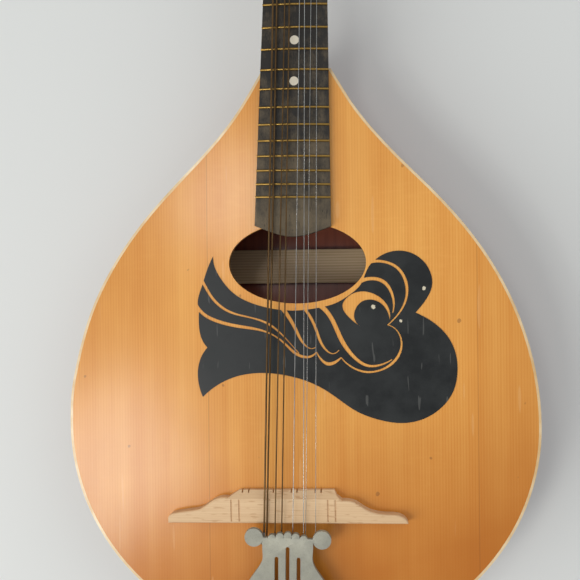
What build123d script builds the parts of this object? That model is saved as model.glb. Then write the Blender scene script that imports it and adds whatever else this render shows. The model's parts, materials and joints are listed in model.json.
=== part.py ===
from build123d import *
import math
import os

os.makedirs("parts", exist_ok=True)

# Flat-backed teardrop mandolin, lying on its back. Millimetres.
# Origin: on the outer face of the back, under the widest place of the body.
# +X to the treble side, +Y towards the head, +Z out of the soundboard.

# ---------------------------------------------------------------- driving dimensions
SCALE_LENGTH = 340.0
SADDLE_Y = 6.5                 # where a standing bridge would carry the strings
NUT_Y = SADDLE_Y + SCALE_LENGTH

HALF_WIDTH = 124.8             # of the body, at y = 0
TAIL_REACH = 117.5             # from the widest place to the tail end
NECK_JOINT_Y = 188.0           # where the body meets the neck
BODY_DEPTH = 62.0
SHOULDER = [(HALF_WIDTH, 0), (120.3, 37), (109.3, 68.7), (90.2, 100.4),
            (62.0, 132.1), (39.6, 155.9), (27.9, 171.8), (18.3, NECK_JOINT_Y)]
SHOULDER_START = (0, 1)
SHOULDER_END = (-0.51, 0.86)
INSET_STATIONS = 8

TOP_T = 2.5
BACK_T = 2.5
RIB_T = 2.0
BINDING_W = 1.3
BACK_EDGE = 0.9                # chamfer round the back
LINING_W = 5.0
LINING_H = 8.0
RIB_TOP = BODY_DEPTH - TOP_T
NECK_BLOCK_Y = 152.0
TAIL_BLOCK_Y = -100.0
TAIL_BLOCK_HALF = 30.0
TOP_BRACES = [(50.0, 7.0, 9.0), (118.0, 7.0, 8.0), (-48.0, 6.0, 8.0)]       # y, width, height
BACK_BRACES = [(85.5, 20.0, 6.0), (2.0, 11.0, 8.0), (-66.0, 11.0, 8.0)]

HOLE_X, HOLE_Y = -0.5, 85.7
HOLE_A, HOLE_B = 36.4, 21.5
PICKGUARD_T = 0.3

NECK_X = -0.55                 # the neck sits a little off the body's centre line
NECK_ANGLE = -1.18             # and turned by this much about +Z
NUT_W = 27.0
BOARD_END_W = 40.2
BOARD_END_Y = 105.0
BOARD_LOBE = 5.6               # how far the middle of the end reaches past its corners
BOARD_T = 5.0
CAMBER_R = 150.0
BOARD_TOP = BODY_DEPTH + BOARD_T
NUT_L = 4.0
NUT_TOP = BOARD_TOP + 2.4
FRET_COUNT = 19
FRET_W = 1.1
FRET_H = 0.8
TANG_W = 0.6
TANG_DEPTH = 1.8
DOT_SPACES = (5, 7, 10, 12)
DOT_R = 2.35
DOT_DEPTH = 1.5
DOT_SHIFT = -1.0
NECK_DEPTH_NUT = 15.0
NECK_DEPTH_HEEL = 19.0
# The heel's level sections: z, half width, and reach from 8 mm inside the joint.
HEEL_ROWS = ((BODY_DEPTH - 8, 17.0, 62), (36, 15.5, 36), (16, 13.0, 25), (4, 12.0, 21))

HEAD_TILT = 10.0
HEAD_T = 14.0
VENEER_T = 1.2
HEAD_HALF = 29.0
POST_U = 14.0
FIRST_POST_V = 30.0
POST_PITCH = 23.0
MACHINES = 4                   # on each side of the head

PLATE_T = 1.2
PLATE_W = 18.0
PLATE_L = 100.0
POST_R = 3.0
POST_TOP = 13.0
STRING_HOLE_R, STRING_HOLE_DOWN = 0.8, 3.0
RUN_GAP = 0.05                 # radial running clearance
BUSH_R = 4.5
BUSH_FLANGE_R = 6.0
BUSH_FLANGE_T = 0.8
BUSH_DEPTH = 8.0
PLATE_SCREW_R = 1.0
PLATE_SCREW_L = 7.0
GEAR_TEETH = 16
GEAR_PITCH_R = 6.0
GEAR_TIP_R = 6.4
GEAR_ROOT_R = 5.25
GEAR_FACE = 2.6
GEAR_BORE_R = 2.2
GEAR_GAP = 2.1                 # between the machine plate and the gear
GEAR_SCREW_R, GEAR_SCREW_HEAD_R = 1.1, 2.9
WORM_PITCH = 2 * math.pi * GEAR_PITCH_R / GEAR_TEETH
WORM_CORE_R = 1.9
WORM_TIP_R = 3.2
WORM_TURNS = 4
WORM_DISTANCE = 8.6
JOURNAL_R = 1.5
SHAFT_END = 28.0
BUTTON_START = 17.5
BUTTON_L = 14.0
BUTTON_HALF_W = 6.6
BUTTON_HALF_T = 2.6
BUTTON_ROUND = 1.2

STRING_R = (0.48, 0.46, 0.34, 0.34, 0.2, 0.2, 0.15, 0.15)
WOUND = 4                      # the first four strings are wound
WOUND_TURNS, PLAIN_TURNS = 3, 7   # turns on the post
WINDING_GAP = 0.1              # between the turns and the straight string that reaches them
NUT_X = (-10.5, -8.2, -4.1, -2.2, 2.9, 4.1, 8.5, 10.4)
# Hooks under the tailpiece: x, y and the height of the string's loop. Where two strings lie
# close, the one behind passes below the hook in front.
HOOK_HIGH, HOOK_LOW = 71.2, 69.3
HOOKS = [(-12.7, -59.4, HOOK_HIGH), (-11.5, -63.2, HOOK_LOW), (-7.0, -59.4, HOOK_HIGH),
         (-3.5, -63.2, HOOK_HIGH), (2.3, -59.4, HOOK_HIGH), (7.9, -59.4, HOOK_HIGH),
         (8.8, -63.2, HOOK_LOW), (14.2, -58.8, HOOK_HIGH)]
STRING_Z_NUT = 68.75
HOOK_R = 0.9
POST_OF_STRING = (0, 1, 2, 3, 3, 2, 1, 0)

BRIDGE_X, BRIDGE_Y = -6.7, -50.4   # middle of the foot of the fallen bridge
BRIDGE_ANGLE = 0.73
BRIDGE_T = 6.0
BRIDGE_EDGE = 0.5              # chamfer round its upper face

TAILPIECE_T = 2.4
TAILPIECE_TOP = 75.0
TAILPIECE_FRONT_Y = -56.0
TAILPIECE_SLOPE = 3.0
FLANGE_Y = -118.75             # inner face of the part that turns down over the tail
FLANGE_T = 2.4
FLANGE_BOTTOM = 24.0

# ---------------------------------------------------------------- frames
NECK = Pos(NECK_X, NECK_JOINT_Y, 0) * Rot(0, 0, NECK_ANGLE) * Pos(0, -NECK_JOINT_Y, 0)
HEAD_IN_NECK = Pos(0, NUT_Y + NUT_L, BODY_DEPTH) * Rot(-HEAD_TILT, 0, 0)
HEAD = NECK * HEAD_IN_NECK


# ---------------------------------------------------------------- small helpers
def save(name, *pieces):
    """Write one node; every solid of the pieces given is kept apart."""
    solids = [solid for piece in pieces for solid in piece.solids()]
    shape = solids[0] if len(solids) == 1 else Compound(solids)
    export_step(shape, f"parts/{name}.step")


def block(x0, x1, y0, y1, z0, z1):
    """A box between two corners."""
    return Pos((x0 + x1) / 2, (y0 + y1) / 2, (z0 + z1) / 2) * Box(x1 - x0, y1 - y0, z1 - z0)


def rod(start, end, radius):
    """A round bar from one point to another."""
    a, b = Vector(*start), Vector(*end)
    plane = Plane(origin=a, z_dir=b - a)
    return extrude(plane * Circle(radius), (b - a).length)


def tube(outer, inner, z0, z1):
    """A ring around the Z axis."""
    return extrude(Pos(0, 0, z0) * (Circle(outer) - Circle(inner)), z1 - z0)


def disc(radius, z0, z1):
    """A round disc or pin along the Z axis."""
    return extrude(Pos(0, 0, z0) * Circle(radius), z1 - z0)


def slab(face, z0, z1):
    """A flat sketch given thickness between two heights."""
    return extrude(Pos(0, 0, z0) * face, z1 - z0)


# ---------------------------------------------------------------- body
def outline(inset):
    """The body's outline, moved inwards: a half ellipse below, one curve for each shoulder."""
    base = Spline(*SHOULDER, tangents=[SHOULDER_START, SHOULDER_END])
    right = []
    for station in range(INSET_STATIONS + 1):
        t = station / INSET_STATIONS
        point, along = base @ t, base % t
        right.append((point.X - along.Y * inset, point.Y + along.X * inset))
    end = base % 1
    left = [(-x, y) for x, y in reversed(right)]
    edges = [
        EllipticalCenterArc((0, 0), HALF_WIDTH - inset, TAIL_REACH - inset, 180, arc_size=180),
        Spline(*right, tangents=[(0, 1), (end.X, end.Y)]),
        Line(right[-1], left[0]),
        Spline(*left, tangents=[(end.X, -end.Y), (0, -1)]),
    ]
    return make_face(edges)


FULL = outline(0)
INNER = outline(RIB_T)
CORE = outline(RIB_T + LINING_W)
NECK_SLOT = block(-16, 16, NECK_JOINT_Y - 4, NECK_JOINT_Y + 4, 0, BODY_DEPTH + 1)


TAIL_SCREWS = ((-6.5, 52.0), (6.5, 52.0), (0.0, 34.0))     # x, z
TAIL_SCREW_R, TAIL_SCREW_L = 1.5, 16.0
SCREW_HEAD_R, SCREW_HEAD_T, SCREW_SLOT_HALF, SCREW_SLOT_FLOOR = 3.1, 1.5, 0.35, 0.9


def screw_row():
    """Three wood screws through the tailpiece's flange, ribs and tail block."""
    shanks, heads = [], []
    front = FLANGE_Y - FLANGE_T
    for x, z in TAIL_SCREWS:
        shanks.append(rod((x, front, z), (x, front + TAIL_SCREW_L, z), TAIL_SCREW_R))
        slot = block(x - SCREW_HEAD_R - 1, x + SCREW_HEAD_R + 1, front - SCREW_HEAD_T - 1,
                     front - SCREW_SLOT_FLOOR, z - SCREW_SLOT_HALF, z + SCREW_SLOT_HALF)
        heads.append(rod((x, front, z), (x, front - SCREW_HEAD_T, z), SCREW_HEAD_R) - slot)
    return shanks, heads


SCREW_SHANKS, SCREW_HEADS = screw_row()
SCREW_HOLES = [NECK * shank for shank in SCREW_SHANKS]


def end_blocks():
    """The neck block and the tail block, glued between back and soundboard."""
    neck_face = INNER & Rectangle(200, 60, align=(Align.CENTER, Align.MIN)).moved(Pos(0, NECK_BLOCK_Y))
    tail_face = INNER & Rectangle(2 * TAIL_BLOCK_HALF, 60, align=(Align.CENTER, Align.MAX)).moved(
        Pos(0, TAIL_BLOCK_Y))
    return slab(neck_face, BACK_T, RIB_TOP), slab(tail_face, BACK_T, RIB_TOP)


def ribs():
    """The side walls, in two strips that meet at the tail."""
    ring = slab(FULL - INNER, BACK_T, RIB_TOP) - NECK_SLOT
    left = ring & block(-200, 0, -200, 250, 0, BODY_DEPTH)
    right = ring & block(0, 200, -200, 250, 0, BODY_DEPTH)
    for hole in SCREW_HOLES:
        left -= hole
        right -= hole
    return left, right


def lining(z0, blocks):
    """A strip glued round the inside corner of the ribs, stopping at the end blocks."""
    strip = slab(INNER - CORE, z0, z0 + LINING_H)
    for piece in blocks:
        strip -= piece
    return strip


def braces(rows, z_from, upwards, blocks):
    """Bars glued across the inside of the soundboard or the back."""
    made = []
    for y, width, height in rows:
        z0, z1 = (z_from, z_from + height) if upwards else (z_from - height, z_from)
        bar = slab(CORE & Rectangle(300, width).moved(Pos(0, y)), z0, z1)
        for piece in blocks:
            bar -= piece
        made.append(bar)
    return made


def body():
    """Soundboard, binding, back, ribs, linings, blocks and braces."""
    hole = Pos(HOLE_X, HOLE_Y) * Ellipse(HOLE_A, HOLE_B)
    save("soundboard", slab(outline(BINDING_W) - hole, RIB_TOP, BODY_DEPTH))
    save("edge_binding", slab(FULL - outline(BINDING_W), RIB_TOP, BODY_DEPTH) - NECK_SLOT)
    back = slab(FULL, 0, BACK_T)
    save("back_plate", chamfer(back.faces().sort_by(Axis.Z)[0].edges(), BACK_EDGE))
    neck_block, tail_block = end_blocks()
    save("neck_block", neck_block)
    drilled = tail_block
    for hole_piece in SCREW_HOLES:
        drilled -= hole_piece
    save("tail_block", drilled)
    left, right = ribs()
    save("rib_left", left)
    save("rib_right", right)
    blocks = (neck_block, tail_block)
    save("top_lining", lining(RIB_TOP - LINING_H, blocks))
    save("back_lining", lining(BACK_T, blocks))
    save("soundboard_braces", *braces(TOP_BRACES, RIB_TOP, False, blocks))
    save("back_braces", *braces(BACK_BRACES, BACK_T, True, blocks))


# ---------------------------------------------------------------- pickguard
# The outline runs in curves between its tips and notches; each line of bare wood is a stroke
# of x, y and width.
GUARD_EDGE = [
    [(-45.4, 89.7), (-44.6, 84.1), (-41.2, 77.6), (-35.3, 70.6), (-27.8, 65.8), (-19.3, 62.8),
     (-9.7, 60.9), (0.9, 60.6), (10.4, 61.8), (19.4, 64.1), (27.3, 68.7), (33.1, 74.2),
     (35.8, 80.4), (40.6, 86.7)],
    [(40.6, 86.7), (45.8, 90.0), (54.6, 91.3), (62.8, 88.2), (68.4, 81.6), (69.9, 73.3),
     (66.2, 65.0), (61.3, 59.0)],
    [(61.3, 59.0), (69.7, 54.3), (77.3, 47.0), (81.6, 37.9), (82.5, 28.6), (80.1, 17.7),
     (73.3, 8.8), (64.1, 3.3), (53.7, 1.4), (41.3, 3.2), (29.9, 7.6), (18.9, 15.2), (7.9, 21.7),
     (-4.7, 25.8), (-19.6, 27.5), (-32.5, 25.9), (-43.4, 21.2), (-51.6, 14.7)],
    [(-51.6, 14.7), (-54.0, 23.2), (-53.6, 32.3), (-48.9, 41.1)],
    [(-48.9, 41.1), (-52.6, 47.8), (-53.4, 54.8), (-53.3, 61.2)],
    [(-53.3, 61.2), (-53.6, 67.6), (-51.5, 74.0), (-49.8, 79.3), (-45.4, 89.7)],
]
GUARD_STROKES = {
    "upper_wave": [
        (-52.0, 77.8, 1.7), (-50.4, 74.8, 1.6), (-45.6, 67.0, 1.5), (-37.6, 60.5, 1.3),
        (-25.8, 57.0, 0.9), (-16.2, 53.6, 1.2), (-7.7, 46.7, 0.7), (0.2, 37.8, 0.6)],
    "lower_wave": [
        (-54.9, 64.1, 1.8), (-50.6, 58.8, 1.8), (-43.0, 55.0, 1.8), (-31.2, 52.2, 1.7),
        (-20.5, 50.3, 1.2), (-14.1, 47.9, 0.8), (-7.2, 42.9, 1.1), (-0.4, 37.1, 1.5),
        (5.4, 36.0, 1.2), (9.4, 38.6, 0.6)],
    "first_scallop": [
        (9.4, 38.6, 0.6), (10.7, 36.2, 0.9), (15.4, 32.3, 1.8), (20.2, 33.8, 1.3),
        (22.3, 35.7, 0.6)],
    "second_scallop": [
        (22.3, 35.7, 0.6), (27.0, 31.2, 0.9), (34.8, 28.1, 1.1), (43.1, 29.1, 1.0),
        (49.9, 33.5, 1.4), (53.8, 41.1, 1.1), (52.6, 48.1, 0.7), (46.7, 52.7, 0.5)],
    "crest_line": [
        (46.7, 52.5, 0.5), (52.2, 58.1, 0.8), (56.4, 66.1, 1.2), (56.3, 75.5, 1.6),
        (51.9, 82.6, 1.5), (45.2, 85.7, 1.4), (35.9, 85.2, 2.1)],
    "first_feather": [
        (-9.2, 62.7, 2.6), (-5.5, 57.7, 2.0), (-1.3, 50.2, 1.7), (2.6, 43.1, 1.1),
        (6.5, 40.4, 0.5), (8.9, 41.0, 0.5)],
    "second_feather": [
        (2.3, 62.4, 1.5), (5.7, 58.1, 1.5), (9.5, 49.9, 1.5), (13.4, 40.9, 1.2),
        (17.6, 37.7, 0.6), (21.3, 39.6, 0.5)],
    "third_feather": [
        (11.5, 63.1, 2.6), (17.2, 56.7, 2.3), (22.4, 45.4, 2.4), (29.1, 35.9, 1.8),
        (36.4, 31.3, 1.4), (43.7, 32.0, 0.9), (48.9, 34.6, 0.5)],
    "inner_arc": [
        (31.1, 74.7, 2.6), (37.3, 76.9, 1.8), (44.6, 75.4, 1.9), (49.2, 68.8, 1.4),
        (49.4, 58.9, 0.5)],
}
CRESCENT = [
    [(47.8, 54.7), (46.6, 63.1), (39.3, 69.2), (28.4, 69.0), (23.3, 62.7), (26.2, 57.2),
     (33.2, 51.6)],
    [(33.2, 51.6), (29.5, 59.0), (33.6, 65.0), (41.9, 64.9), (47.0, 58.9), (47.8, 54.7)],
]


def stroke(points):
    """A brush stroke: two curves half a width either side of its middle line, closed at its ends."""
    middle = Spline(*[(x, y) for x, y, width in points])
    sides = ([], [])
    for x, y, width in points:
        along = middle % middle.param_at_point((x, y))
        across = (-along.Y * width / 2, along.X * width / 2)
        sides[0].append((x + across[0], y + across[1]))
        sides[1].append((x - across[0], y - across[1]))
    left, right = sides
    return make_face([Spline(*left), Line(left[-1], right[-1]), Spline(*reversed(right)),
                      Line(right[0], left[0])])


def pickguard():
    """Thin black sheet glued on below the sound hole, cut through by the wave lines."""
    sheet = make_face([Spline(*run) for run in GUARD_EDGE])
    plate = slab(sheet, BODY_DEPTH, BODY_DEPTH + PICKGUARD_T)
    for points in GUARD_STROKES.values():
        plate -= slab(stroke(points), BODY_DEPTH - 1, BODY_DEPTH + 1)
    plate -= slab(make_face([Spline(*run) for run in CRESCENT]), BODY_DEPTH - 1, BODY_DEPTH + 1)
    solids = [solid for solid in plate.solids() if solid.volume > 0.3]
    save("pickguard", *solids)


# ---------------------------------------------------------------- neck, fretboard and frets
def board_width(y):
    """Width of the fretboard at a place along the neck."""
    share = (NUT_Y - y) / (NUT_Y - BOARD_END_Y)
    return NUT_W + share * (BOARD_END_W - NUT_W)


def fret_y(number):
    """Place of a fret by the twelfth root of two."""
    return SADDLE_Y + SCALE_LENGTH * 2 ** (-number / 12)


def camber_cylinder(radius, y0, y1):
    """Long cylinder whose top is the fretboard's arched face."""
    centre = BOARD_TOP - CAMBER_R
    return rod((0, y0, centre), (0, y1, centre), radius)


def fret_profile():
    """Half-round crown; drawn across the neck's middle plane, ready to turn about the camber axis."""
    half = FRET_W / 2
    crown = make_face([ThreePointArc((-half, 0), (0, FRET_H), (half, 0)), Line((half, 0), (-half, 0))])
    tang = Rectangle(TANG_W, TANG_DEPTH, align=(Align.CENTER, Align.MAX))
    return crown, tang


def arched(face, y, half_width):
    """Turn a small section about the camber axis, from edge to edge of the fretboard."""
    angle = math.degrees(math.asin(half_width / CAMBER_R))
    axis = Axis((0, y, BOARD_TOP - CAMBER_R), (0, 1, 0))
    section = Plane(origin=(0, y, BOARD_TOP), x_dir=(0, 1, 0), z_dir=(1, 0, 0)) * face
    return revolve(section.rotate(axis, -angle), axis, 2 * angle)


def neck_half_round(y, width, depth):
    """The neck's section: flat on top, half an ellipse below."""
    face = make_face([EllipticalCenterArc((0, 0), width / 2, depth, 180, arc_size=180),
                      Line((width / 2, 0), (-width / 2, 0))])
    return Plane(origin=(0, y, BODY_DEPTH), x_dir=(1, 0, 0), z_dir=(0, -1, 0)) * face


def head_outline():
    """The head's outline, in its own plane: u across, v towards the tip."""
    neck_half = NUT_W / 2
    right = [
        Line((neck_half, 0), (neck_half, 3)),
        Spline((neck_half, 3), (23.5, 14), (HEAD_HALF, 25), tangents=[(0, 1), (0, 1)]),
        Line((HEAD_HALF, 25), (HEAD_HALF - 2, 117)),
        ThreePointArc((HEAD_HALF - 2, 117), (20.5, 126.5), (12, 122)),
    ]
    left = [edge.mirror(Plane.YZ) for edge in right]
    crown = ThreePointArc((12, 122), (0, 137), (-12, 122))
    return make_face([*right, crown, *left, Line((-neck_half, 0), (neck_half, 0))])


def post_places():
    """Side (-1 bass, +1 treble), number along the side, and v of each machine."""
    return [(side, row, FIRST_POST_V + row * POST_PITCH)
            for side in (-1, 1) for row in range(MACHINES)]


def plate_screw_places():
    """v of the screws that hold a machine plate."""
    first = FIRST_POST_V - 9
    return [first] + [FIRST_POST_V + row * POST_PITCH + 14.3 for row in range(MACHINES)]


def neck_parts():
    """Neck with its head, veneer, fretboard, frets, dots and nut."""
    veneer = slab(head_outline(), -VENEER_T, 0)
    head = slab(head_outline(), -HEAD_T, -VENEER_T)
    for side, _, v in post_places():
        drill = Pos(side * POST_U, v) * disc(BUSH_R, -HEAD_T - 1, 1)
        head -= drill
        veneer -= drill
    for side in (-1, 1):
        for v in plate_screw_places():
            head -= Pos(side * POST_U, v) * disc(PLATE_SCREW_R, -HEAD_T - 1, -HEAD_T + PLATE_SCREW_L)
    shaft = loft([neck_half_round(NECK_JOINT_Y - 8, board_width(NECK_JOINT_Y - 8), NECK_DEPTH_HEEL),
                  neck_half_round(NUT_Y + NUT_L, NUT_W, NECK_DEPTH_NUT)])
    heel = loft([Pos(0, NECK_JOINT_Y - 8, z) * Ellipse(a, b) for z, a, b in HEEL_ROWS])
    wood = shaft + heel + HEAD_IN_NECK * head - HEAD_IN_NECK * veneer
    wood = NECK * wood
    wood -= block(-100, 100, NECK_JOINT_Y - 120, NECK_JOINT_Y, -50, BODY_DEPTH + 1)
    save("neck", wood)
    save("head_veneer", HEAD * veneer)

    crown, tang = fret_profile()
    y_numbers = [(fret_y(n), board_width(fret_y(n)) / 2) for n in range(1, FRET_COUNT + 1)]
    frets = [arched(crown, y, half) + arched(tang, y, half) for y, half in y_numbers]
    save("frets", *[NECK * fret for fret in frets])

    corner = BOARD_END_W / 2
    end = Spline((-corner, BOARD_END_Y), (-10.2, BOARD_END_Y - 3.7), (0, BOARD_END_Y - BOARD_LOBE),
                 (10.2, BOARD_END_Y - 3.7), (corner, BOARD_END_Y))
    half = NUT_W / 2
    face = make_face([end, Line((corner, BOARD_END_Y), (half, NUT_Y)), Line((half, NUT_Y), (-half, NUT_Y)),
                      Line((-half, NUT_Y), (-corner, BOARD_END_Y))])
    board = slab(face, BODY_DEPTH, BOARD_TOP + 1) & camber_cylinder(CAMBER_R, 80, 360)
    for y, half in y_numbers:
        board -= arched(tang, y, half + 3)
    dots = []
    for space in DOT_SPACES:
        y = (fret_y(space - 1) + fret_y(space)) / 2 + DOT_SHIFT
        pocket = Pos(0, y) * disc(DOT_R, BOARD_TOP - DOT_DEPTH, BOARD_TOP + 1)
        board -= pocket
        dots.append(pocket & camber_cylinder(CAMBER_R, 80, 360))
    save("fretboard", NECK * board)
    save("position_dots", *[NECK * dot for dot in dots])

    nut = block(-NUT_W / 2, NUT_W / 2, NUT_Y, NUT_Y + NUT_L, BODY_DEPTH, NUT_TOP)
    nut = fillet(nut.edges().filter_by(Axis.X).group_by(Axis.Z)[-1], 0.8)
    for number, radius in enumerate(STRING_R):
        points = string_points(number)
        nut -= rod(points[0], points[1], radius + 0.02) + rod(points[1], points[2], radius + 0.02)
        x, y, z = points[1]
        nut -= block(x - radius, x + radius, NUT_Y - 1, NUT_Y + NUT_L + 1, z, z + 5)
    save("nut", NECK * nut)


# ---------------------------------------------------------------- strings
def entry_height(row):
    """Height above the head at which a string reaches the post of its row."""
    return 4.0 + 1.4 * row


def string_points(number):
    """Hook, nut and post ends of one string, in the neck's frame."""
    side = -1 if number < WOUND else 1
    radius = STRING_R[number]
    v = FIRST_POST_V + POST_OF_STRING[number] * POST_PITCH
    reach = POST_R + 3 * radius + WINDING_GAP
    end = HEAD_IN_NECK * Pos(side * (POST_U - reach), v, entry_height(POST_OF_STRING[number]))
    return [HOOKS[number], (NUT_X[number], NUT_Y + NUT_L / 2, STRING_Z_NUT),
            tuple(end.position)]


def one_string(number):
    """Loop round the hook, straight run to the nut, and down to the post."""
    radius = STRING_R[number]
    hook, nut, post = string_points(number)
    loop_r = HOOK_R + radius + 0.03
    start = (hook[0], hook[1] + loop_r, hook[2])
    wire = rod(start, nut, radius) + Pos(*nut) * Sphere(radius) + rod(nut, post, radius)
    return wire + Pos(*hook) * Torus(loop_r, radius)


def strings():
    """Four courses of two: the lower two courses are wound."""
    made = [NECK * one_string(number) for number in range(len(STRING_R))]
    save("wound_strings", *made[:WOUND])
    save("plain_strings", *made[WOUND:])


# ---------------------------------------------------------------- bridge
BRIDGE_SIDE = [(-63.1, 0), (-63.1, 2.4), (-62.1, 4.0), (-58.8, 5.2), (-50.5, 6.4), (-45.3, 7.6),
               (-42.4, 9.3), (-39.5, 11.4), (-36.2, 12.9), (-30.9, 13.1)]
BRIDGE_CREST = [(-25.0, 16.7), (25.1, 16.8), (26.4, 14.0)]
BRIDGE_OTHER = [(29.2, 11.8), (33.8, 11.5), (36.6, 10.5), (39.7, 8.4), (42.9, 6.6), (47.5, 5.2),
                (52.1, 4.7), (57.6, 4.4), (60.7, 3.2), (62.5, 1.4), (63.0, 0)]
BRIDGE_GROOVES = (-29.1, -24.9, 21.7, 25.6)
BRIDGE_NOTCHES = (-23.4, -20.1, -10.3, -7.0, 2.5, 5.5, 15.1, 18.2)
CREST_BEVEL_Y = 12.6


def bridge():
    """Loose wooden bridge, fallen flat: its crest points to the neck and its foot to the tail."""
    face = make_face([Polyline(BRIDGE_SIDE[0], BRIDGE_SIDE[1]), Spline(*BRIDGE_SIDE[1:]),
                      Polyline(BRIDGE_SIDE[-1], *BRIDGE_CREST, BRIDGE_OTHER[0]),
                      Spline(*BRIDGE_OTHER), Line(BRIDGE_OTHER[-1], BRIDGE_SIDE[0])])
    wood = extrude(face, BRIDGE_T)
    wood = chamfer(wood.faces().sort_by(Axis.Z)[-1].edges(), BRIDGE_EDGE)
    bevel = make_face(Polyline((CREST_BEVEL_Y, BRIDGE_T), (18, BRIDGE_T), (18, 1.4), close=True))
    wood -= extrude(Plane(origin=(-32, 0, 0), x_dir=(0, 1, 0), z_dir=(1, 0, 0)) * bevel, 64)
    for x in BRIDGE_GROOVES:
        wood -= block(x - 0.4, x + 0.4, 1.0, CREST_BEVEL_Y - 0.3, BRIDGE_T - 0.6, BRIDGE_T + 1)
    for x in BRIDGE_NOTCHES:
        wood -= block(x - 0.35, x + 0.35, 15.3, 18, -1, BRIDGE_T + 1)
    save("bridge", Pos(BRIDGE_X, BRIDGE_Y, BODY_DEPTH) * Rot(0, 0, BRIDGE_ANGLE) * wood)


# ---------------------------------------------------------------- tailpiece
TAILPIECE_HALF = 13.1
TAILPIECE_PEARLS = ((0, -54.9), (-4.1, -55.4), (4.1, -55.4), (-8.2, -56.4), (8.2, -56.4))
PEARL_R = 2.05
TAILPIECE_SCROLLS = ((-17.6, -56.3), (17.6, -56.3))
SCROLL_R = 4.75
TAILPIECE_SLOTS = ((0, -60.5), (-5.7, -65.8), (5.7, -65.8))     # x, and y of the upper end
SLOT_FOOT_Y, SLOT_W = -106.0, 2.0
FLANGE_HALF, FLANGE_ROUND = 15.5, 9.0
HOOK_LIP = 0.25
TAILPIECE_SIDE = [(TAILPIECE_HALF, -60.0), (TAILPIECE_HALF, -68.0), (18.9, -77.5), (24.0, -91.0),
                  (22.0, -106.0), (16.0, FLANGE_Y - FLANGE_T)]


def tailpiece():
    """Cast lyre plate over the string hooks, turned down over the tail end and screwed on."""
    left = [(-x, y) for x, y in TAILPIECE_SIDE]
    front_left, front_right = (-TAILPIECE_HALF, TAILPIECE_FRONT_Y), (TAILPIECE_HALF, TAILPIECE_FRONT_Y)
    sketch = make_face([Line(left[0], front_left), Line(front_left, front_right),
                        Line(front_right, TAILPIECE_SIDE[0]),
                        Spline(*TAILPIECE_SIDE, tangents=[(0, -1), (-0.3, -1)]),
                        Line(TAILPIECE_SIDE[-1], left[-1]),
                        Spline(*reversed(left), tangents=[(-0.3, 1), (0, 1)])])
    for x, y in TAILPIECE_PEARLS:
        sketch += Pos(x, y) * Circle(PEARL_R)
    for x, y in TAILPIECE_SCROLLS:
        sketch += Pos(x, y) * Circle(SCROLL_R)
    for x, y in TAILPIECE_SLOTS:
        sketch -= Pos(x, (y + SLOT_FOOT_Y) / 2) * SlotOverall(y - SLOT_FOOT_Y, SLOT_W, rotation=90)
    tilt = Pos(0, TAILPIECE_FRONT_Y, TAILPIECE_TOP) * Rot(TAILPIECE_SLOPE, 0, 0) * Pos(
        0, -TAILPIECE_FRONT_Y, 0)
    plate = tilt * extrude(sketch, -TAILPIECE_T)
    outside = FLANGE_Y - FLANGE_T
    plate &= block(-40, 40, outside, 0, 0, 100)
    flange = block(-FLANGE_HALF, FLANGE_HALF, outside, FLANGE_Y, FLANGE_BOTTOM, TAILPIECE_TOP - 3.6)
    flange = fillet(flange.edges().filter_by(Axis.Y).group_by(Axis.Z)[0], FLANGE_ROUND)
    cast = plate + flange
    for x, y, z in HOOKS:
        cast += Pos(x, y) * disc(HOOK_R, z - 0.9, TAILPIECE_TOP - 1.2)
        cast += Pos(x, y) * disc(HOOK_R + HOOK_LIP, z - 1.0, z - 0.6)
    for shank in SCREW_SHANKS:
        cast -= shank
    save("tailpiece", NECK * cast)
    save("tailpiece_screws", *[NECK * (shank + head)
                               for shank, head in zip(SCREW_SHANKS, SCREW_HEADS)])


# ---------------------------------------------------------------- tuning machines
# Each machine is drawn at the treble side of the head; the bass side is its mirror image.
PLATE_TOP = -HEAD_T
PLATE_BOTTOM = -HEAD_T - PLATE_T
GEAR_TOP = PLATE_BOTTOM - GEAR_GAP
GEAR_BOTTOM = GEAR_TOP - GEAR_FACE
WORM_W = (GEAR_TOP + GEAR_BOTTOM) / 2
PLATE_MIDDLE_V = FIRST_POST_V + 1.5 * POST_PITCH + 2.5
LUGS = ((-7.6, -6.1), (6.5, 8.5))     # along the worm shaft, from the post's axis


def gear():
    """Wheel with straight tapered teeth, one of them pointing at the worm."""
    points = []
    for tooth in range(GEAR_TEETH):
        middle = 90 + tooth * 360 / GEAR_TEETH
        for radius, swing in ((GEAR_ROOT_R, -6.8), (GEAR_TIP_R, -2.0), (GEAR_TIP_R, 2.0),
                              (GEAR_ROOT_R, 6.8)):
            angle = math.radians(middle + swing)
            points.append((radius * math.cos(angle), radius * math.sin(angle)))
    face = make_face(Polyline(*points, close=True)) - Circle(GEAR_BORE_R)
    return slab(face, GEAR_BOTTOM, GEAR_TOP)


def worm():
    """Worm thread on its shaft, drawn along Z with the post's axis on its -X side."""
    height = WORM_TURNS * WORM_PITCH
    path = Helix(WORM_PITCH, height, WORM_CORE_R, center=(0, 0, -height / 2))
    section = make_face(Polyline((WORM_CORE_R - 0.25, -0.72), (WORM_TIP_R, -0.25),
                                 (WORM_TIP_R, 0.25), (WORM_CORE_R - 0.25, 0.72), close=True))
    start = Plane(origin=(0, 0, -height / 2), x_dir=(1, 0, 0), z_dir=(0, -1, 0))
    thread = sweep(start * section, path, is_frenet=True)
    core = disc(WORM_CORE_R, LUGS[0][1] + 0.2, LUGS[1][0] - 0.2)
    return core + thread + disc(JOURNAL_R, LUGS[0][0] - 0.6, SHAFT_END)


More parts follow.
